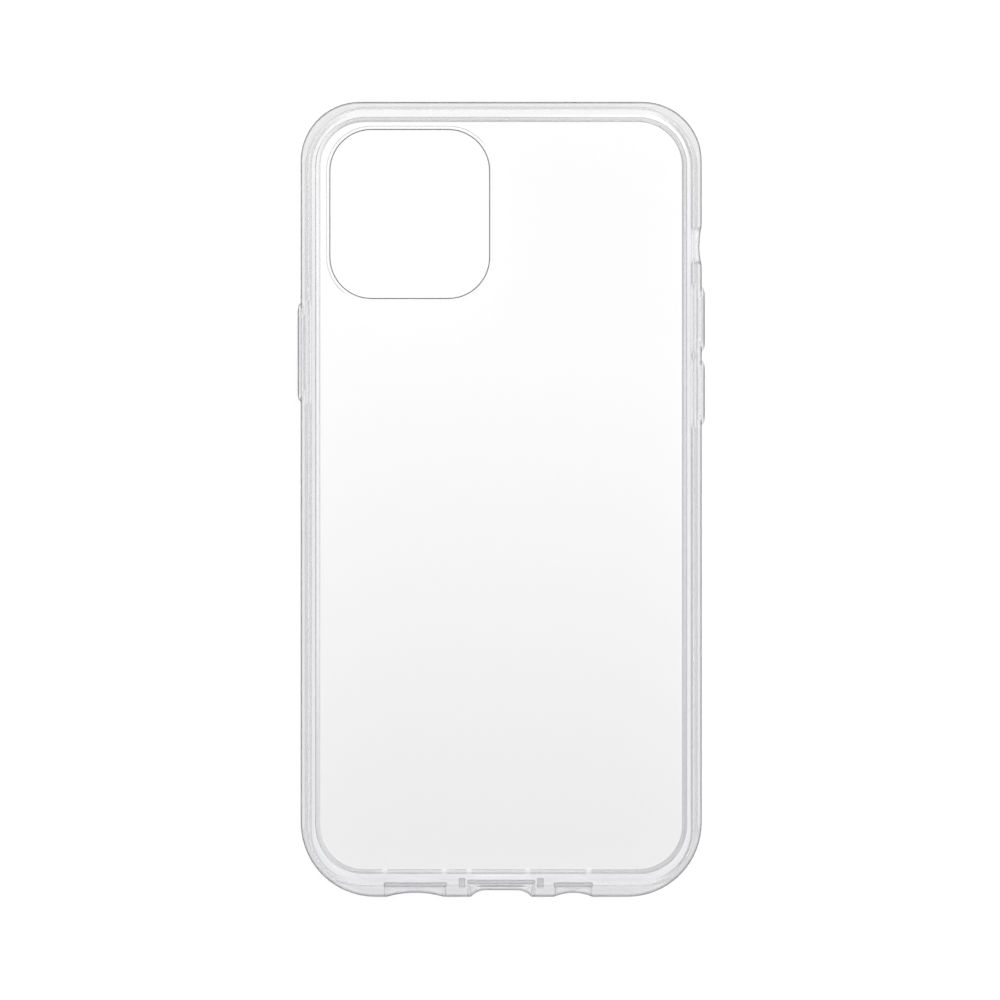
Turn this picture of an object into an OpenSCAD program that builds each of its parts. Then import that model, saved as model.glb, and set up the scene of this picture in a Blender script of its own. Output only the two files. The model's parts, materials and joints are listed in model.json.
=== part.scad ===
// Clear phone case lying face down: a hard back panel held by a tongue in the groove of a
// soft bumper frame, with three key covers that flex inwards on thin webs.
// +Z is the outward normal of the back, +Y points to the top of the phone, and the origin is
// the middle of the footprint on the plane that the front lip rests on. Millimetres.

/* [Phone] */
// Width of the phone body that the case fits
phone_w = 71.4; // [64:0.1:80]
// Length of the phone body
phone_l = 144; // [130:0.1:165]
// Thickness of the phone body
phone_t = 8.1; // [7.4:0.1:10]
// Corner radius of the phone, seen from the front
phone_r = 10.3; // [9:0.1:11.5]
// Clearance between phone and case, on every side
phone_gap = 0.1; // [0.05:0.05:0.3]

/* [Bumper] */
// Thickness of the left and right walls
side_wall = 1.5; // [1.3:0.1:2.2]
// Thickness of the wall at the top of the phone
top_wall = 1.5; // [1.3:0.1:2.2]
// Thickness of the wall at the bottom of the phone
bottom_wall = 2.2; // [1.8:0.1:3]
// Outer corner radius at the top, seen from the back
top_corner_r = 11; // [10:0.1:12]
// Outer corner radius at the bottom, seen from the back
bottom_corner_r = 13.8; // [12:0.1:14.2]
// Rounding of the outer edge at the back
back_round = 3; // [2:0.1:3.2]
// Rounding of the outer edge at the front
front_round = 1.4; // [0.8:0.1:1.5]
// Rounding inside the pocket, next to the back panel
pocket_round_back = 1.8; // [1.4:0.1:2.2]
// Rounding inside the pocket, next to the front lip
pocket_round_front = 1.6; // [1:0.1:2]
// Thickness of the front lip
lip_t = 1.1; // [0.9:0.1:1.6]
// How far the front lip reaches over the phone
lip_reach = 1.6; // [1:0.1:2.2]
// Rounding of the lip's inner edge
lip_round = 0.5; // [0.2:0.05:0.5]

/* [Back panel] */
// Thickness of the back panel
panel_t = 1.2; // [1:0.1:1.6]
// Flat rim between the pocket's rounding and the panel, at the sides
rim_side = 0.2; // [0.1:0.05:0.6]
// Flat rim between the pocket's rounding and the panel, at the top
rim_top = 0.3; // [0.1:0.05:0.8]
// Flat rim between the pocket's rounding and the panel, at the bottom
rim_bottom = 1; // [0.2:0.05:1.6]
// How far the panel's tongue reaches into the bumper
tongue_reach = 0.75; // [0.4:0.05:0.8]
// Thickness of the tongue
tongue_t = 0.4; // [0.3:0.05:0.5]
// Clearance between panel and bumper
panel_fit = 0.03; // [0.02:0.01:0.05]
// Rounding of the two edges that meet at the seam on the back
seam_round = 0.25; // [0.1:0.05:0.35]

/* [Camera window] */
// Width of the window
camera_w = 29.5; // [20:0.1:30]
// Length of the window
camera_l = 31.2; // [20:0.1:31.6]
// Corner radius of the window
camera_r = 7.6; // [5:0.1:9]
// Middle of the window from the phone's camera-side edge
camera_from_side = 18.7; // [18.2:0.1:24]
// Middle of the window from the phone's top edge
camera_from_top = 19.3; // [19.2:0.1:26]
// Width of the raised lip round the window
camera_lip_w = 0.8; // [0.5:0.05:0.9]
// Height of the raised lip above the back
camera_lip_h = 0.5; // [0.3:0.05:1]
// Rounding of the window's edges and of the lip
camera_round = 0.3; // [0.1:0.05:0.35]

/* [Keys] */
// Middle of the power key from the phone's top edge
power_from_top = 45; // [38:0.1:60]
// Length of the power key cover
power_l = 18.4; // [12:0.1:22]
// Middle of the volume up key from the phone's top edge
volume_up_from_top = 38.8; // [37:0.1:46]
// Length of each volume key cover
volume_l = 12.2; // [9:0.1:13]
// Gap between the two volume key covers
volume_gap = 1.5; // [1.4:0.1:8]
// Height of the key covers
key_h = 3.8; // [2.8:0.1:4]
// How far the key covers stand out from the wall
key_proud = 0.6; // [0.3:0.05:0.9]
// How far a key cover's sides lean in before its crown begins
key_slope = 0.4; // [0.2:0.05:0.8]
// Height of the crown's dome, as part of how far the key cover stands out
key_dome = 0.2; // [0.1:0.05:0.25]
// Thickness of a key cover inside the wall's outer face
key_body = 0.95; // [0.7:0.05:1]
// How far the pusher behind a key cover stands out
pusher_t = 0.2; // [0.1:0.05:0.25]
// Height of the pusher
pusher_h = 1.6; // [1:0.1:2.4]
// Distance from the end of a key cover to the end of its pusher
pusher_inset = 2; // [1:0.1:3]
// Width of the flexing web round a key cover
web_w = 0.5; // [0.3:0.05:0.55]
// Thickness of the flexing web
web_t = 0.4; // [0.3:0.05:0.6]
// Middle of the keys and openings from the phone's front face
key_from_front = 3.9; // [3.7:0.1:4.1]

/* [Ringer switch window] */
// Middle of the window from the phone's top edge
switch_from_top = 25.2; // [20:0.1:26.5]
// Length of the window
switch_l = 7; // [5:0.1:9]
// Height of the window
switch_h = 4.6; // [3.6:0.1:5]
// Length of the scoop round the window
switch_scoop_l = 7.4; // [5:0.1:9]
// Depth of the scoop
switch_scoop_d = 0.42; // [0.2:0.02:0.6]

/* [Bottom openings] */
// Length of the charging port opening
port_l = 12.8; // [9:0.1:13.4]
// Height of the charging port opening
port_h = 5.6; // [4.6:0.1:5.8]
// Flat length of the scoop at the charging port
port_scoop_flat = 6; // [4:0.1:7]
// Depth of the scoop at the charging port
port_scoop_d = 1.2; // [0.6:0.05:1.4]
// Radius of the scoop's shoulders at the charging port
port_scoop_r = 3.4; // [2.5:0.1:4.5]
// Middle of the speaker opening from the middle of the port
speaker_x = 16; // [15.4:0.1:17]
// Length of the speaker opening
speaker_l = 11.8; // [8:0.1:12]
// Length of the scoop at the speaker
speaker_scoop_l = 10.6; // [6:0.1:11]
// Middle of the microphone opening from the middle of the port
mic_x = 13.4; // [12.6:0.1:16]
// Length of the microphone opening
mic_l = 7.4; // [5:0.1:8]
// Length of the scoop at the microphone
mic_scoop_l = 7.2; // [5:0.1:8]
// Height of the speaker and microphone openings
sound_h = 3.4; // [2.4:0.1:3.8]
// Depth of the scoops at the speaker and the microphone
sound_scoop_d = 0.74; // [0.3:0.02:0.9]
// Width of the relief at the inner mouth of each bottom opening
mouth_w = 0.9; // [0.6:0.05:1]
// How far that relief reaches into the rim under the panel
mouth_rise = 0.3; // [0.2:0.05:0.4]
// Middle of that relief from the pocket's bottom wall, at the speaker and the microphone
sound_mouth_y = 0.1; // [0:0.05:0.3]
// Middle of that relief from the pocket's bottom wall, at the charging port
port_mouth_y = 0.6; // [0.4:0.05:0.8]
// Middle of the two relief notches from the middle of the port
relief_x = 7.3; // [7.2:0.1:7.6]
// Width of the relief notches
relief_w = 1.2; // [0.8:0.1:1.4]
// Land between the relief notches and the groove for the panel's tongue
relief_land = 0.7; // [0.4:0.05:1.2]
// Depth of the relief notches, into the wall and towards the back
relief_d = 0.4; // [0.3:0.05:0.5]
// Rounding of the relief notches' edges
relief_round = 0.2; // [0.1:0.05:0.25]

/* [Hidden] */
$fn = 96;
// How far a cut runs past the surface it opens
spill = 1;

pocket_w = phone_w + 2 * phone_gap;
pocket_l = phone_l + 2 * phone_gap;
pocket_t = phone_t + 2 * phone_gap;
pocket_r = phone_r + phone_gap;
pocket_y = (bottom_wall - top_wall) / 2;
pocket_z = lip_t + pocket_t;

case_w = pocket_w + 2 * side_wall;
case_l = pocket_l + top_wall + bottom_wall;
case_t = pocket_z + panel_t;

phone_top = case_l / 2 - top_wall - phone_gap;
key_z = lip_t + phone_gap + key_from_front;
phone_side = phone_w / 2;
bottom_face = -case_l / 2;
pocket_bottom = bottom_face + bottom_wall;

panel_side_inset = pocket_round_back + rim_side;
panel_w = pocket_w - 2 * panel_side_inset;
panel_l = pocket_l - 2 * pocket_round_back - rim_top - rim_bottom;
panel_y = pocket_y + (rim_bottom - rim_top) / 2;
panel_r = pocket_r - panel_side_inset;
tongue_z = pocket_z + (panel_t - tongue_t) / 2;
groove_reach = tongue_reach + panel_fit;
// Edge roundings, held within the walls that they are on
tongue_round = tongue_t / 3;
lip_edge = min(lip_round, 0.48 * lip_t);
camera_edge = min(camera_round, 0.48 * camera_lip_w);

camera_x = camera_from_side - phone_side;
camera_y = phone_top - camera_from_top;

// Each key: which side of the case it is on, its middle along the case, and its length
power_key = [-1, phone_top - power_from_top, power_l];
volume_up_key = [1, phone_top - volume_up_from_top, volume_l];
volume_down_key = [1, volume_up_key[1] - volume_l - volume_gap, volume_l];

clear_panel = [0.95, 0.95, 0.95, 0.35];
clear_bumper = [0.9, 0.9, 0.92, 0.45];

// What has to go from a square corner at the origin, with its material at -x and -y, to round it
module corner_waste(r) {
    difference() {
        translate([-r, -r]) square(r + spill);
        translate([-r, -r]) circle(r);
    }
}

// Half of a slab's section, from its middle out to reach, with its two outer edges rounded
module slab_section(reach, z0, z1, low, high) {
    difference() {
        translate([0, z0]) square([reach, z1 - z0]);
        if (high > 0) translate([reach, z1]) corner_waste(high);
        if (low > 0) translate([reach, z0]) mirror([0, 1]) corner_waste(low);
    }
}

// Half of a through hole's section, which leaves the two edges of its mouths rounded
module hole_section(reach, z0, z1, low, high) {
    translate([0, z0 - spill]) square([reach, z1 - z0 + 2 * spill]);
    if (high > 0) translate([reach, z1]) mirror([1, 0]) corner_waste(high);
    if (low > 0) translate([reach, z0]) mirror([1, 0]) mirror([0, 1]) corner_waste(low);
}

module section(hole, reach, z0, z1, low, high) {
    if (hole) hole_section(reach, z0, z1, low, high);
    else slab_section(reach, z0, z1, low, high);
}

// The +Y half of a slab or hole, with corners of radius r
module half_slab(hole, w, l, r, z0, z1, low, high) {
    corner_y = l / 2 - r;
    for (side = [0, 1]) mirror([side, 0, 0]) translate([w / 2 - r, corner_y, 0])
        rotate_extrude(angle = 90) section(hole, r, z0, z1, low, high);
    translate([0, corner_y, 0]) rotate([90, 0, 90]) linear_extrude(w - 2 * r, center = true)
        section(hole, r, z0, z1, low, high);
    translate([0, corner_y, 0]) rotate([90, 0, 0]) linear_extrude(corner_y)
        for (side = [0, 1]) mirror([side, 0]) section(hole, w / 2, z0, z1, low, high);
}

// A slab with a rounded rectangle for its plan, or the cut for a hole of that plan
module slab(w, l, r_top, r_bottom, z0, z1, low = 0, high = 0, hole = false) {
    half_slab(hole, w, l, r_top, z0, z1, low, high);
    mirror([0, 1, 0]) half_slab(hole, w, l, r_bottom, z0, z1, low, high);
}

// An outline with round ends, its length along x
module pill(l, h) {
    square([l - h, h], center = true);
    for (end = [-1, 1]) translate([end * (l - h) / 2, 0]) circle(h / 2);
}

// Puts a shape at a key's place on the outer face of its side wall, with +x pointing out of the wall
module on_wall(key) {
    mirror([key[0] < 0 ? 1 : 0, 0, 0]) translate([case_w / 2, key[1], key_z]) children();
}

// A prism of that outline standing on a side wall: length along Y, from depth inner to depth outer,
// counted outwards from the wall's outer face
module wall_pill(key, l, h, inner, outer) {
    on_wall(key) translate([inner, 0, 0]) rotate([90, 0, 90]) linear_extrude(outer - inner) pill(l, h);
}

// A bar with round ends and a round top, its length along x, from z0 up to z1
module round_bar(l, w, z0, z1) {
    straight = l - w;
    for (end = [-1, 1]) translate([end * straight / 2, 0, 0])
        rotate_extrude() slab_section(w / 2, z0, z1, 0, w / 2);
    rotate([90, 0, 90]) linear_extrude(straight, center = true)
        for (side = [0, 1]) mirror([side, 0]) slab_section(w / 2, z0, z1, 0, w / 2);
}

// A slot through the bottom wall, with a narrow relief up into the rim at its inner mouth
module bottom_slot(x, l, h, mouth_y) {
    translate([x, pocket_bottom + spill, key_z]) rotate([90, 0, 0])
        linear_extrude(bottom_wall + 2 * spill) pill(l, h);
    translate([x, pocket_bottom + mouth_y, 0]) round_bar(l, mouth_w, key_z, pocket_z + mouth_rise);
}

// Radius of the arc that is l long across and d deep
function arc_r(l, d) = l * l / (8 * d) + d / 2;

// A scoop in a wall, l long and d deep, opening to -y at the origin. It runs through the whole
// thickness of the case and gives its own edges the wall's rounding.
module scoop(l, d) {
    r = arc_r(l, d);
    translate([0, d - r, 0]) rotate_extrude() hole_section(r, 0, case_t, front_round, back_round);
}

// Half of the section of what stands out of the wall: leaning side and domed crown, y pointing outwards
module crown_section() {
    foot = key_h / 2 - key_slope;
    foot_y = key_proud - key_dome;
    r = arc_r(2 * foot, key_dome);
    polygon([[0, 0], [key_h / 2, 0], [foot, foot_y], [0, foot_y]]);
    intersection() {
        translate([0, key_proud - r]) circle(r);
        translate([0, foot_y]) square([foot, key_dome]);
    }
}

module key_crown(key) {
    straight = key[2] - key_h;
    on_wall(key) {
        for (end = [-1, 1]) translate([0, end * straight / 2, 0]) rotate([0, 90, 0])
            rotate_extrude() crown_section();
        rotate([-90, -90, 0]) linear_extrude(straight, center = true)
            for (side = [0, 1]) mirror([side, 0]) crown_section();
    }
}

module key_cover(key) {
    color(clear_bumper) {
        wall_pill(key, key[2], key_h, -key_body, 0);
        wall_pill(key, key[2] - 2 * pusher_inset, pusher_h, -key_body - pusher_t, -key_body);
        key_crown(key);
    }
}

module key_web(key) {
    color(clear_bumper) difference() {
        wall_pill(key, key[2] + 2 * web_w, key_h + 2 * web_w, -web_t, 0);
        wall_pill(key, key[2], key_h, -web_t - spill, spill);
    }
}

module key_window(key) {
    wall_pill(key, key[2] + 2 * web_w, key_h + 2 * web_w, -side_wall - spill, spill);
}

module back_panel() {
    color(clear_panel) difference() {
        union() {
            translate([0, panel_y, 0]) {
                slab(panel_w, panel_l, panel_r, panel_r, pocket_z, case_t, 0, seam_round);
                slab(panel_w + 2 * tongue_reach, panel_l + 2 * tongue_reach,
                     panel_r + tongue_reach, panel_r + tongue_reach,
                     tongue_z, tongue_z + tongue_t, tongue_round, tongue_round);
            }
            translate([camera_x, camera_y, 0])
                slab(camera_w + 2 * camera_lip_w, camera_l + 2 * camera_lip_w,
                     camera_r + camera_lip_w, camera_r + camera_lip_w,
                     tongue_z, case_t + camera_lip_h, 0, camera_edge);
        }
        translate([camera_x, camera_y, 0])
            slab(camera_w, camera_l, camera_r, camera_r, pocket_z, case_t + camera_lip_h,
                 camera_edge, camera_edge, hole = true);
    }
}

module pocket() {
    translate([0, pocket_y, 0]) {
        slab(pocket_w, pocket_l, pocket_r, pocket_r, lip_t, pocket_z,
             pocket_round_front, pocket_round_back);
        slab(pocket_w - 2 * lip_reach, pocket_l - 2 * lip_reach,
             pocket_r - lip_reach, pocket_r - lip_reach, 0, lip_t,
             lip_edge, lip_edge, hole = true);
    }
}

module panel_seat() {
    translate([0, panel_y, 0]) {
        slab(panel_w + 2 * panel_fit, panel_l + 2 * panel_fit,
             panel_r + panel_fit, panel_r + panel_fit,
             pocket_z, case_t, 0, seam_round, hole = true);
        slab(panel_w + 2 * groove_reach, panel_l + 2 * groove_reach,
             panel_r + groove_reach, panel_r + groove_reach,
             tongue_z - panel_fit, tongue_z + tongue_t + panel_fit, tongue_round, tongue_round);
    }
}

module switch_window() {
    window = [1, phone_top - switch_from_top];
    wall_pill(window, switch_l, switch_h, -side_wall - spill, spill);
    translate([case_w / 2, window[1], 0]) rotate([0, 0, 90]) scoop(switch_scoop_l, switch_scoop_d);
}

module port_opening() {
    bottom_slot(0, port_l, port_h, port_mouth_y);
    scoop_l = 2 * port_scoop_r + 2 * spill;
    translate([0, bottom_face + port_scoop_d - scoop_l / 2, 0])
        slab(port_scoop_flat + 2 * port_scoop_r, scoop_l, port_scoop_r, port_scoop_r,
             0, case_t, front_round, back_round, hole = true);
    relief_l = panel_y - panel_l / 2 - groove_reach - relief_land - pocket_bottom;
    for (side = [-1, 1]) translate([side * relief_x, pocket_bottom + (relief_l - relief_d) / 2, 0])
        slab(relief_w, relief_l + relief_d, relief_round, relief_round,
             key_z, pocket_z + relief_d, 0, relief_round);
}

module sound_opening(x, l, scoop_l) {
    bottom_slot(x, l, sound_h, sound_mouth_y);
    translate([x, bottom_face, 0]) scoop(scoop_l, sound_scoop_d);
}

module bumper_frame() {
    color(clear_bumper) difference() {
        slab(case_w, case_l, top_corner_r, bottom_corner_r, 0, case_t, front_round, back_round);
        pocket();
        panel_seat();
        for (key = [power_key, volume_up_key, volume_down_key]) key_window(key);
        switch_window();
        port_opening();
        sound_opening(-speaker_x, speaker_l, speaker_scoop_l);
        sound_opening(mic_x, mic_l, mic_scoop_l);
    }
}

module power_button() key_cover(power_key);
module volume_up_button() key_cover(volume_up_key);
module volume_down_button() key_cover(volume_down_key);
module power_button_web() key_web(power_key);
module volume_up_button_web() key_web(volume_up_key);
module volume_down_button_web() key_web(volume_down_key);

back_panel();
bumper_frame();
power_button();
volume_up_button();
volume_down_button();
power_button_web();
volume_up_button_web();
volume_down_button_web();
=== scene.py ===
import json
from math import cos, pi, sin

import bmesh
import bpy
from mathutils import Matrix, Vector
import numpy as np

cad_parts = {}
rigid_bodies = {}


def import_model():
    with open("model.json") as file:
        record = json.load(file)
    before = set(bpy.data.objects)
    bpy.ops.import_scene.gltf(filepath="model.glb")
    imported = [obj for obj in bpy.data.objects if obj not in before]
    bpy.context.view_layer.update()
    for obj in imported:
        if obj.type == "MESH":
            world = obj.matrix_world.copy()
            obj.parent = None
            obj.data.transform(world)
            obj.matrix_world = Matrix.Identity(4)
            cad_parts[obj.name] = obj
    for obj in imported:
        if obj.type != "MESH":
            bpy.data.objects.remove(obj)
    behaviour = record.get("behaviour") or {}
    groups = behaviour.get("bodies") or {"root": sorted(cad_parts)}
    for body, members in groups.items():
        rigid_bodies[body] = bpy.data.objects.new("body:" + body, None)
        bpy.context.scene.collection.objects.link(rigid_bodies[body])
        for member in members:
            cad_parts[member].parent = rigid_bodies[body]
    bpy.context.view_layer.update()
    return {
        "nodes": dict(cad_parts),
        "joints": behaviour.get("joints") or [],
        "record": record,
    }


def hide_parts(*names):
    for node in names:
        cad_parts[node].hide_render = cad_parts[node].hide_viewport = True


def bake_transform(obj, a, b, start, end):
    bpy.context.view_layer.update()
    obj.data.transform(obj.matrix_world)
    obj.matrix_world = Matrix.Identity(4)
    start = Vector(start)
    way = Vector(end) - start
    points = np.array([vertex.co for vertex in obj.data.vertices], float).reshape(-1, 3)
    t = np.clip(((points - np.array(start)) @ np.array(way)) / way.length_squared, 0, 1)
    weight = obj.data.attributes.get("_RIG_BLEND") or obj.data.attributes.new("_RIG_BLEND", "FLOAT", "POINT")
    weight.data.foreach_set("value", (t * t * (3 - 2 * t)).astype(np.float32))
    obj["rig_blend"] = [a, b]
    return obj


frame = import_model()
NODES = frame["nodes"]

# The photograph: pixels across, scale on the case, and the pixel at the case's middle
IMAGE_PX = 1000
M_PER_PX = 0.0001862
CENTRE_PX = (501.2, 499.3)
# A long lens, as the photo shows no perspective, and the height at which the scale holds
LENS_MM = 800.0
SENSOR_MM = 36.0
SCALE_Z = 0.005
CLIP_END = 10

# Floor: size, drop below the case, colour, and own light, where 1 is white
FLOOR_SIZE = 4.0
FLOOR_DROP = 0.00002
FLOOR_GREY = 0.5
FLOOR_GLOW = 0.575

# Sky: levels at the horizon and from SKY_HEIGHT up, and their shares away from the light and towards it
HORIZON = 0.2
SKY = 1.0
SKY_HEIGHT = 0.6
SKY_LEAN = (0.35, 1.65)
LIGHT_FROM = Vector((0.25, 0.97, 0.0))

# Graduated softbox above the camera
CARD_Z = 4.6
CARD_SIZE = 0.8
CARD_LEVEL = 1.5
CARD_DARK_Y, CARD_BRIGHT_Y = -0.1365, 0.0546

# Lamp
LAMP_AT = (0.25, 0.4, 1.25)
LAMP_SIZE = 0.5
LAMP_POWER = 1.5

# Light passes through many clear layers
CLEAR_BOUNCES = 32
GLOSSY_BOUNCES = 16

# Soft plastic of the bumper, keys and webs. A haze is the scale and detail of the noise in the
# roughness, and a grain or wave is the scale, distance and strength of a bump.
SOFT_IOR = 1.12
SOFT_ROUGHNESS = (0.02, 0.05)
SOFT_HAZE = (600, 3)
SOFT_GRAIN = (900, 0.000002, 0.3)
SOFT_COAT_IOR = 1.5
SOFT_COAT_ROUGHNESS = 0.05
SOFT_BASE = 0.955
WEB_BASE = 0.8
SOFT_BLUE = 0.01
SOFT_ABSORB = ((0.0, 0.0, 0.06, 1), 18)
SOFT_PASS = 0.98

# Dark edges of the soft plastic: how much light they pass, the Facing over which they set in, how
# much sooner on faces towards the bottom and the top, and what is left on faces seen from behind
EDGE_SHADE = 0.4
EDGE_FACING = (0.5, 0.8)
EDGE_ENDS = (-0.2, -0.05)
EDGE_BEHIND = 0.22
# What is left on faces towards the case's middle, left and right, as they turn to look across it; more is
# left on the right, which is painted shade on the side away from the light
EDGE_INSIDE_AND_PAINTED_SHADE = (0.35, 0.6)
INSIDE_ACROSS = (0.3, 0.8)
# What is left round the keys, left and right, and how far round a key that is
EDGE_AT_KEYS = (0.3, 0.0)
KEY_ZONE = Vector((0.0002, -0.001, 0.0))
# What is left on a key's flanks, left and right, and where below its outer face they end
KEY_FLANK = (1.0, 0.2)
FLANK_END = (0.00035, 0.00015)
# Faces that look less than this across the case are bonded: those of keys and webs, and those of
# the bumper that are in this zone round a web
BONDED_ACROSS = 0.3
BONDED_ZONE = Vector((0.00122, 0.00002, 0.00002))

# Painted light, where the plastic's colour is made lighter: towards the top, and in a strip inside the
# panel's left and bottom edges, with where each strip fades in and out
PAINTED_LIGHT_BASE = 1.0
PAINTED_LIGHT_TOP_Y = (0.035, 0.06)
PAINTED_LIGHT_STRIP = (0.0003, 0.00078)
PAINTED_LIGHT_LEFT_Y = (-0.052, -0.024, 0.052, 0.06)
PAINTED_LIGHT_BOTTOM_X = (-0.0245, -0.0225, 0.0155, 0.0175)

# Painted shade at the roofs of the bottom openings' mouths: where they are, with Y from the pocket's end,
# the
# Facing over which it grows, and its share
MOUTH_X = (-0.0235, 0.0235)
MOUTH_Y = (-0.0004, 0.0015)
MOUTH_Z = (0.00942, 0.00985)
MOUTH_FACING = (-0.6, 0.4)
MOUTH_SHADE = 0.85

# Hard plastic of the panel
HARD_IOR = 1.585
HARD_ROUGHNESS = (0.0, 0.015)
HARD_HAZE = (400, 4)
HARD_WAVE = (60, 0.000002, 0.3)
HARD_BASE = 0.95
HARD_PASS = 0.9
# Index where the panel hardly shows: the lip's far flank, and the tongue on the left
HIDDEN_IOR = 1.05

# Satin moulded faces of the panel: added roughness, how much light they pass, the slope from which a
# face counts as moulded, and what is left of it on upright faces
SATIN_ROUGHNESS = 0.3
SATIN_SHADE = 0.15
MOULDED_SLOPE = (0.998, 0.88)
UPRIGHT_SLOPE = (0.2, 0.5)
UPRIGHT_SATIN = 0.12
# Satin on the seam and the tongue, at the left edge and further in, and how both change to the top. Less
# satin at the left edge is painted light: the seam and tongue are lighter on the side the light comes from
LEFT_EDGE = 0.006
SEAM_SATIN_AND_PAINTED_LIGHT = (0.22, 0.46)
SEAM_ENDS = (0.95, 1.3)
TONGUE_SATIN_AND_PAINTED_LIGHT = (0.0, 0.08)
TONGUE_TOP = 1.9
# Half the height of the tongue, which is in the middle of the panel's thickness
TONGUE_HALF = 0.0003
# Gaps in the satin at the ends of the bottom openings, which are painted light where those ends light up the
# seam, and how far up from the pocket's end they go
SEAM_GAPS_X = (-0.0217, -0.0106, -0.006, 0.0049, 0.0163)
SEAM_GAP = 0.0007
SEAM_GAP_CORE = SEAM_GAP / 3
SEAM_GAP_SATIN = 0.0
SEAM_GAPS_UP = 0.02
# Satin on the camera window's walls, and on the lip round it from this height over the back
WINDOW_SATIN = 0.88
LIP_SATIN = 0.06
LIP_RISE = 0.0001
# The lip's far flank: how its normal leans to the lower right, and its start over the back
FAR_LEAN = (0.0, 0.4)
FAR_RISE = 0.00001

# What a noise texture mostly stays between
NOISE_SPAN = (0.3, 0.7)

# The flexing webs: rows across the ring, steps round each end, and how far across the case a face
# looks if it is shaded smooth
FLEX_STEPS = 6
END_STEPS = 24
SMOOTH_ACROSS = 0.5


def grey(value, blue=0.0):
    return (value, value, value + blue, 1)


def corners(obj):
    points = [obj.matrix_world @ vertex.co for vertex in obj.data.vertices]
    low = Vector(min(p[axis] for p in points) for axis in range(3))
    high = Vector(max(p[axis] for p in points) for axis in range(3))
    return low, high


KEYS = {joint["child"]: joint["parent"] for joint in frame["joints"]}
WEBS = {key: key + "_web" for key in KEYS}
KEY_BOX = {key: corners(NODES[key]) for key in KEYS}
WEB_BOX = {key: corners(NODES[web]) for key, web in WEBS.items()}
KEY_FACE = max(high.x for low, high in KEY_BOX.values())
PANEL_LOW, PANEL_HIGH = corners(NODES["back_panel"])
BACK_Z = corners(NODES["bumper_frame"])[1].z
OPENING = {o["name"]: o["box_m"] for o in frame["record"]["physics"]["openings"]}
WINDOW_X, WINDOW_Y, _ = ((low + high) / 2 for low, high in zip(*OPENING["camera_window"]))
POCKET_END = OPENING["phone_pocket_long"][0][1]


def new_tree(name):
    material = bpy.data.materials.new(name)
    material.use_nodes = True
    material.node_tree.nodes.clear()
    return material, material.node_tree


def feed(tree, socket, value):
    if isinstance(value, bpy.types.NodeSocket):
        tree.links.new(value, socket)
    else:
        socket.default_value = value


def node(tree, kind, **inputs):
    """A shader node. Each input is a number, a colour or the socket that feeds it."""
    made = tree.nodes.new("ShaderNode" + kind)
    for name, value in inputs.items():
        feed(tree, made.inputs[name.replace("_", " ")], value)
    return made


def math(tree, operation, *values):
    made = tree.nodes.new("ShaderNodeMath")
    made.operation = operation
    for socket, value in zip(made.inputs, values):
        feed(tree, socket, value)
    return made.outputs[0]


def product(tree, first, *others):
    for other in others:
        first = math(tree, "MULTIPLY", first, other)
    return first


def larger(tree, first, second):
    return math(tree, "MAXIMUM", first, second)


def spread(tree, value, low, high, to_low=0.0, to_high=1.0):
    """value mapped from low..high onto to_low..to_high, held at both ends."""
    made = node(tree, "MapRange", Value=value)
    limits = {"From Min": low, "From Max": high, "To Min": to_low, "To Max": to_high}
    for name, limit in limits.items():
        feed(tree, made.inputs[name], limit)
    return made.outputs[0]


def pick(tree, share, none, full):
    """none where share is 0, full where it is 1."""
    return spread(tree, share, 0, 1, none, full)


def ramp(tree, factor, stops):
    made = node(tree, "ValToRGB", Fac=factor)
    elements = made.color_ramp.elements
    while len(elements) < len(stops):
        elements.new(1.0)
    for element, (position, colour) in zip(elements, stops):
        element.position = position
        element.color = colour
    return made.outputs[0]


def noise(tree, scale, detail=2.0):
    coords = node(tree, "TexCoord").outputs["Object"]
    return node(tree, "TexNoise", Vector=coords, Scale=scale, Detail=detail).outputs[0]


def hazy(tree, haze, limits):
    """A roughness that wanders between two limits."""
    return spread(tree, noise(tree, *haze), *NOISE_SPAN, *limits)


def texture(tree, scale, distance, strength):
    """A bumped normal: the mould's grain, or the slight waves of a polished sheet."""
    height = noise(tree, scale)
    return node(tree, "Bump", Height=height, Distance=distance, Strength=strength).outputs[0]


def place(tree):
    return node(tree, "SeparateXYZ", Vector=node(tree, "TexCoord").outputs["Object"]).outputs


def normal(tree):
    return node(tree, "SeparateXYZ", Vector=node(tree, "TexCoord").outputs["Normal"]).outputs


def faces(tree, x, y):
    """1 where the surface leans towards the upright line through x and y."""
    lean_x = product(tree, normal(tree)["X"], math(tree, "SUBTRACT", x, place(tree)["X"]))
    lean_y = product(tree, normal(tree)["Y"], math(tree, "SUBTRACT", y, place(tree)["Y"]))
    return math(tree, "GREATER_THAN", math(tree, "ADD", lean_x, lean_y), 0.0)


def inside(tree, axis, low, high):
    """1 where the place is between two levels along an axis."""
    return math(tree, "COMPARE", place(tree)[axis], (low + high) / 2, (high - low) / 2)


def in_any(tree, axes, boxes, grow):
    """1 in any of the boxes, each grown on every side, along the axes named."""
    found = 0.0
    for low, high in boxes.values():
        limits = dict(zip("XYZ", zip(low - grow, high + grow)))
        here = product(tree, *(inside(tree, axis, *limits[axis]) for axis in axes))
        found = math(tree, "ADD", found, here)
    return found


def stretch(tree, axis, fade_in, full, fading, out):
    """1 from full to fading along an axis, and 0 outside the fades."""
    at = place(tree)[axis]
    return product(tree, spread(tree, at, fade_in, full), spread(tree, at, fading, out, 1, 0))


def by_side(tree, left, right):
    """A value that goes from left to right across the panel."""
    return spread(tree, place(tree)["X"], PANEL_LOW.x, PANEL_HIGH.x, left, right)


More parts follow.
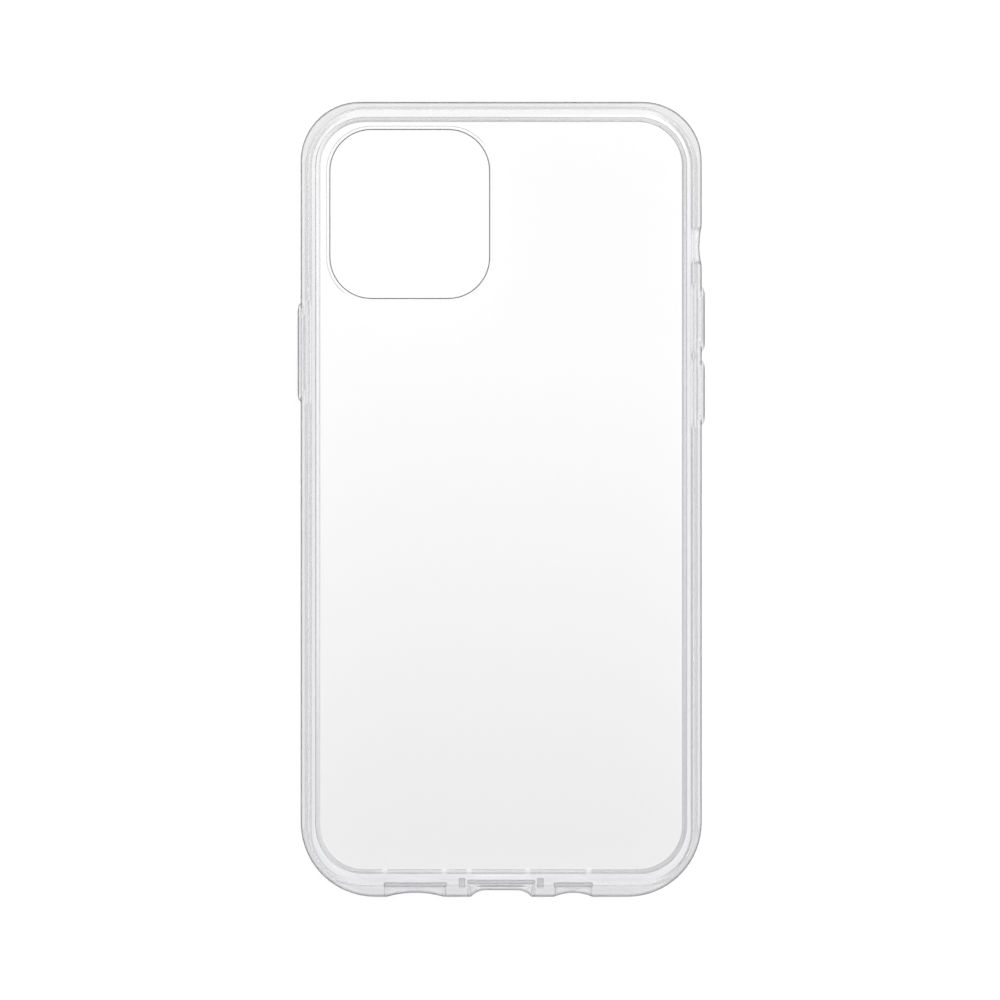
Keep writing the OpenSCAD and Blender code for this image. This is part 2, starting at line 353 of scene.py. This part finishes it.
def painted_light_strips(tree):
    """1 over the panel's tongue in strips inside its left and bottom edges, where painted light is put."""
    strips = []
    for axis, edge, along, fades in (
        ("X", PANEL_LOW.x, "Y", PAINTED_LIGHT_LEFT_Y), ("Y", PANEL_LOW.y, "X", PAINTED_LIGHT_BOTTOM_X),
    ):
        over = inside(tree, axis, edge + PAINTED_LIGHT_STRIP[0], edge + PAINTED_LIGHT_STRIP[1])
        strips.append(product(tree, over, stretch(tree, along, *fades)))
    return larger(tree, *strips)


def tint_with_painted_light(tree, base, painted_light, blue=0.0):
    """The plastic's colour, made lighter by painted light where the mask is 1."""
    level = pick(tree, painted_light, base, PAINTED_LIGHT_BASE)
    bluer = math(tree, "ADD", level, blue)
    return node(tree, "CombineColor", Red=level, Green=level, Blue=bluer).outputs[0]


def between(tree, factor, first, second):
    mix = node(tree, "MixShader", Fac=factor)
    tree.links.new(first, mix.inputs[1])
    tree.links.new(second, mix.inputs[2])
    return mix.outputs[0]


def through(tree, level):
    return node(tree, "BsdfTransparent", Color=grey(level)).outputs[0]


def output(tree, shader, pass_light, bonded=None, absorb=None):
    """Joins a clear shader to the output. Lamps and the floor's own light go straight through it,
    dimmed by pass_light at each face, and a face that is bonded to its neighbour isn't seen."""
    path = node(tree, "LightPath").outputs
    gate = larger(tree, path["Is Shadow Ray"], path["Is Diffuse Ray"])
    if bonded is not None:
        shader = between(tree, bonded, shader, through(tree, 1.0))
    surface = between(tree, gate, shader, through(tree, pass_light))
    out = node(tree, "OutputMaterial", Surface=surface)
    if absorb:
        colour, density = absorb
        volume = node(tree, "VolumeAbsorption", Color=colour, Density=density)
        tree.links.new(volume.outputs[0], out.inputs["Volume"])


def seam_gaps(tree):
    """1 along the seam, less where painted light stands for the ends of the bottom openings lighting it up.
    """
    shade = 1.0
    for x in SEAM_GAPS_X:
        off = math(tree, "ABSOLUTE", math(tree, "SUBTRACT", place(tree)["X"], x))
        gap = spread(tree, off, SEAM_GAP_CORE, SEAM_GAP, SEAM_GAP_SATIN, 1)
        shade = product(tree, shade, gap)
    bottom = math(tree, "LESS_THAN", place(tree)["Y"], POCKET_END + SEAM_GAPS_UP)
    return pick(tree, bottom, 1, shade)


def hard_clear():
    """Polished sheet with satin moulded edges, most satin round the camera window."""
    material, tree = new_tree("clear_panel")
    at = place(tree)
    slope = math(tree, "ABSOLUTE", normal(tree)["Z"])
    window = faces(tree, WINDOW_X, WINDOW_Y)
    left = PANEL_LOW.x, PANEL_LOW.x + LEFT_EDGE

    ends = spread(tree, at["Y"], PANEL_LOW.y, PANEL_HIGH.y, *SEAM_ENDS)
    ends = product(tree, ends, seam_gaps(tree))
    # Less satin towards the left edge, on the seam here and the tongue below, is painted light on the side
    # the light comes from.
    seam = product(tree, ends, spread(tree, at["X"], *left, *SEAM_SATIN_AND_PAINTED_LIGHT))
    seam = spread(tree, at["Z"], BACK_Z, BACK_Z + LIP_RISE, seam, LIP_SATIN)
    moulded = spread(tree, slope, *MOULDED_SLOPE)
    moulded = product(tree, moulded, spread(tree, slope, *UPRIGHT_SLOPE, UPRIGHT_SATIN, 1))
    satin = product(tree, moulded, larger(tree, seam, product(tree, window, WINDOW_SATIN)))

    tongue = math(tree, "COMPARE", at["Z"], (PANEL_LOW.z + BACK_Z) / 2, TONGUE_HALF)
    left_tongue = product(tree, tongue, spread(tree, at["X"], *left, 1, 0))
    tongue = product(tree, tongue, spread(tree, at["X"], *left, *TONGUE_SATIN_AND_PAINTED_LIGHT))
    tongue = product(tree, tongue, spread(tree, at["Y"], *PAINTED_LIGHT_TOP_Y, 1, TONGUE_TOP))
    satin = larger(tree, satin, product(tree, tongue, ends))

    far = spread(tree, math(tree, "SUBTRACT", normal(tree)["X"], normal(tree)["Y"]), *FAR_LEAN)
    far = product(tree, far, math(tree, "GREATER_THAN", at["Z"], BACK_Z + FAR_RISE))
    far = product(tree, far, math(tree, "SUBTRACT", 1.0, window))
    satin = product(tree, satin, math(tree, "SUBTRACT", 1.0, far))

    polish = hazy(tree, HARD_HAZE, HARD_ROUGHNESS)
    # The base colour carries painted light in strips inside the panel's left and bottom edges.
    shader = node(
        tree, "BsdfPrincipled", Base_Color=tint_with_painted_light(tree, HARD_BASE, painted_light_strips(tree)),
        Roughness=math(tree, "MULTIPLY_ADD", satin, SATIN_ROUGHNESS, polish),
        IOR=pick(tree, larger(tree, far, left_tongue), HARD_IOR, HIDDEN_IOR),
        Transmission_Weight=1.0, Normal=texture(tree, *HARD_WAVE),
    )
    shaded = between(tree, satin, shader.outputs[0], through(tree, SATIN_SHADE))
    output(tree, shaded, HARD_PASS)
    return material


def soft_edge(tree, facing):
    """Share of shade on the soft plastic, which grows as a face is seen edge on."""
    behind = node(tree, "NewGeometry").outputs["Backfacing"]
    across = math(tree, "ABSOLUTE", normal(tree)["X"])
    along = normal(tree)["Y"]
    bottom = spread(tree, along, -1, 0, EDGE_ENDS[0], 0)
    top = spread(tree, along, 0, 1, 0, EDGE_ENDS[1])
    start = math(tree, "ADD", math(tree, "ADD", bottom, top), EDGE_FACING[0])
    edge = spread(tree, facing, start, EDGE_FACING[1])
    edge = product(tree, edge, pick(tree, behind, 1, EDGE_BEHIND))
    # More shade is left on the right: painted shade on the side away from the light.
    inward = spread(tree, across, *INSIDE_ACROSS, 0, by_side(tree, *EDGE_INSIDE_AND_PAINTED_SHADE))
    return product(tree, edge, pick(tree, faces(tree, 0.0, 0.0), 1, inward))


def bumper_edge(tree, facing, edge):
    """The bumper's shade: painted shade at the roofs of the bottom mouths, lighter round the keys."""
    mouth = product(
        tree, spread(tree, facing, *MOUTH_FACING, 0, MOUTH_SHADE), inside(tree, "X", *MOUTH_X),
        inside(tree, "Y", *(POCKET_END + y for y in MOUTH_Y)), inside(tree, "Z", *MOUTH_Z),
    )
    at_key = in_any(tree, "XY", KEY_BOX, KEY_ZONE)
    left_over = pick(tree, at_key, 1, by_side(tree, *EDGE_AT_KEYS))
    return product(tree, larger(tree, edge, mouth), left_over)


def key_edge(tree, edge):
    """A key's shade: less on its flanks than at its outer face."""
    out = math(tree, "ABSOLUTE", place(tree)["X"])
    end = (KEY_FACE - below for below in FLANK_END)
    return product(tree, edge, spread(tree, out, *end, by_side(tree, *KEY_FLANK), 1))


def soft_clear(piece, base):
    """Soft moulded plastic of the bumper, keys or webs, a little hazy, dark where it is edge on."""
    material, tree = new_tree("clear_" + piece)
    facing = node(tree, "LayerWeight").outputs["Facing"]
    colour = grey(base, SOFT_BLUE)
    edge = soft_edge(tree, facing)
    across = math(tree, "ABSOLUTE", normal(tree)["X"])
    bonded = math(tree, "LESS_THAN", across, BONDED_ACROSS)
    if piece == "bumper":
        # Painted light: the colour is lighter towards the top and in strips inside the panel's left and
        # bottom edges.
        painted_light = larger(tree, painted_light_strips(tree), spread(tree, place(tree)["Y"], *PAINTED_LIGHT_TOP_Y))
        colour = tint_with_painted_light(tree, base, painted_light, SOFT_BLUE)
        edge = bumper_edge(tree, facing, edge)
        bonded = product(tree, bonded, in_any(tree, "XYZ", WEB_BOX, BONDED_ZONE))
    elif piece == "key":
        edge = key_edge(tree, edge)
    shader = node(
        tree, "BsdfPrincipled", Base_Color=colour, IOR=SOFT_IOR, Transmission_Weight=1.0,
        Roughness=hazy(tree, SOFT_HAZE, SOFT_ROUGHNESS), Coat_Weight=1.0, Coat_IOR=SOFT_COAT_IOR,
        Coat_Roughness=SOFT_COAT_ROUGHNESS, Normal=texture(tree, *SOFT_GRAIN),
    )
    shaded = between(tree, edge, shader.outputs[0], through(tree, EDGE_SHADE))
    output(tree, shaded, SOFT_PASS, bonded, SOFT_ABSORB)
    return material


def pill(low, high):
    """Points round a pill with round ends along Y that fills a box."""
    radius, middle = (high.z - low.z) / 2, (high.z + low.z) / 2
    points = []
    for end, start in ((high.y - radius, -pi / 2), (low.y + radius, pi / 2)):
        for step in range(END_STEPS + 1):
            angle = start + pi * step / END_STEPS
            points.append(Vector((0, end + radius * cos(angle), middle + radius * sin(angle))))
    return points


def smoothstep(share):
    return share * share * (3 - 2 * share)


def flexing_web(key, material):
    """Ring between the key's flank and the wall, which bends evenly across its width."""
    (low, high), web = WEB_BOX[key], WEBS[key]
    inner, outer = pill(*KEY_BOX[key]), pill(low, high)
    made = bmesh.new()
    share = made.verts.layers.float.new("share")
    layers = []
    for x in (low.x, high.x):
        rows = []
        for step in range(FLEX_STEPS + 1):
            row = []
            for a, b in zip(inner, outer):
                point = a.lerp(b, step / FLEX_STEPS)
                point.x = x
                vertex = made.verts.new(point)
                vertex[share] = 1 - step / FLEX_STEPS
                row.append(vertex)
            rows.append(row)
        layers.append(rows)
    count = len(inner)
    near, far = layers
    for i in range(count):
        j = (i + 1) % count
        for step in range(FLEX_STEPS):
            made.faces.new((near[step][i], near[step][j], near[step + 1][j], near[step + 1][i]))
            made.faces.new((far[step][i], far[step + 1][i], far[step + 1][j], far[step][j]))
        made.faces.new((near[0][j], near[0][i], far[0][i], far[0][j]))
        made.faces.new((near[-1][i], near[-1][j], far[-1][j], far[-1][i]))
    bmesh.ops.recalc_face_normals(made, faces=made.faces[:])
    for face in made.faces:
        face.smooth = abs(face.normal.x) > SMOOTH_ACROSS
    mesh = bpy.data.meshes.new(web + "_flexing")
    made.to_mesh(mesh)
    made.free()
    mesh.materials.append(material)
    ring = bpy.data.objects.new(mesh.name, mesh)
    bpy.context.scene.collection.objects.link(ring)
    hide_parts(web)
    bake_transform(ring, KEYS[key], key, start=outer[0], end=inner[0])
    follow = [smoothstep(value.value) for value in mesh.attributes["share"].data]
    mesh.attributes["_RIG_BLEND"].data.foreach_set("value", follow)
    mesh.attributes.remove(mesh.attributes["share"])


PANEL = hard_clear()
BUMPER = soft_clear("bumper", SOFT_BASE)
KEY = soft_clear("key", SOFT_BASE)
WEB = soft_clear("web", WEB_BASE)
for name, obj in NODES.items():
    obj.data.materials.clear()
    obj.data.materials.append({"back_panel": PANEL, "bumper_frame": BUMPER}.get(name, KEY))
for key in KEYS:
    flexing_web(key, WEB)


def floor():
    """Matte floor with light of its own, which only shows to the camera and in gloss and glass."""
    bpy.ops.mesh.primitive_plane_add(size=FLOOR_SIZE, location=(0, 0, -FLOOR_DROP))
    plane = bpy.context.object
    plane.name = "floor"
    material, tree = new_tree("floor")
    path = node(tree, "LightPath").outputs
    seen = larger(tree, path["Is Camera Ray"], path["Is Glossy Ray"])
    seen = larger(tree, seen, path["Is Transmission Ray"])
    glow = node(tree, "Emission", Strength=product(tree, seen, FLOOR_GLOW))
    matte = node(tree, "BsdfDiffuse", Color=grey(FLOOR_GREY))
    both = node(tree, "AddShader")
    tree.links.new(matte.outputs[0], both.inputs[0])
    tree.links.new(glow.outputs[0], both.inputs[1])
    node(tree, "OutputMaterial", Surface=both.outputs[0])
    plane.data.materials.append(material)


def card():
    """Graduated softbox above the camera: its reflection brightens the panel towards the top."""
    bpy.ops.mesh.primitive_plane_add(size=CARD_SIZE, location=(0, 0, CARD_Z))
    plane = bpy.context.object
    plane.name = "softbox"
    material, tree = new_tree("softbox")
    level = spread(tree, place(tree)["Y"], CARD_DARK_Y, CARD_BRIGHT_Y, 0.0, CARD_LEVEL)
    glow = node(tree, "Emission", Strength=level)
    node(tree, "OutputMaterial", Surface=glow.outputs[0])
    plane.data.materials.append(material)


def world():
    """Sky that is darker at the horizon and brighter on the side that the light comes from."""
    made = bpy.data.worlds.new("studio")
    bpy.context.scene.world = made
    made.use_nodes = True
    tree = made.node_tree
    tree.nodes.clear()
    sky = node(tree, "TexCoord").outputs["Generated"]
    height = node(tree, "SeparateXYZ", Vector=sky).outputs["Z"]
    colour = ramp(tree, height, [(0.0, grey(HORIZON)), (SKY_HEIGHT, grey(SKY))])
    along = node(tree, "VectorMath")
    along.operation = "DOT_PRODUCT"
    tree.links.new(sky, along.inputs[0])
    along.inputs[1].default_value = LIGHT_FROM
    lean = spread(tree, along.outputs["Value"], -1, 1, *SKY_LEAN)
    back = node(tree, "Background", Color=colour, Strength=lean)
    node(tree, "OutputWorld", Surface=back.outputs[0])


def lamp():
    """Round lamp that is aimed at the case."""
    data = bpy.data.lights.new("key", "AREA")
    data.shape = "DISK"
    data.size = LAMP_SIZE
    data.energy = LAMP_POWER
    made = bpy.data.objects.new("key", data)
    made.location = LAMP_AT
    made.rotation_mode = "QUATERNION"
    made.rotation_quaternion = (-Vector(LAMP_AT)).to_track_quat("-Z", "Y")
    bpy.context.scene.collection.objects.link(made)


def camera():
    """Looks straight down, with the case's middle at its pixel in the photo."""
    data = bpy.data.cameras.new("camera")
    data.lens = LENS_MM
    data.sensor_width = SENSOR_MM
    data.clip_end = CLIP_END
    made = bpy.data.objects.new("camera", data)
    bpy.context.scene.collection.objects.link(made)
    distance = IMAGE_PX * M_PER_PX * LENS_MM / SENSOR_MM
    made.location = (
        (IMAGE_PX / 2 - CENTRE_PX[0]) * M_PER_PX,
        (CENTRE_PX[1] - IMAGE_PX / 2) * M_PER_PX,
        distance + SCALE_Z,
    )
    bpy.context.scene.camera = made


floor()
card()
world()
lamp()
camera()

scene = bpy.context.scene
scene.view_settings.view_transform = "Standard"
scene.cycles.max_bounces = CLEAR_BOUNCES
scene.cycles.transmission_bounces = CLEAR_BOUNCES
scene.cycles.glossy_bounces = GLOSSY_BOUNCES
scene.cycles.transparent_max_bounces = CLEAR_BOUNCES
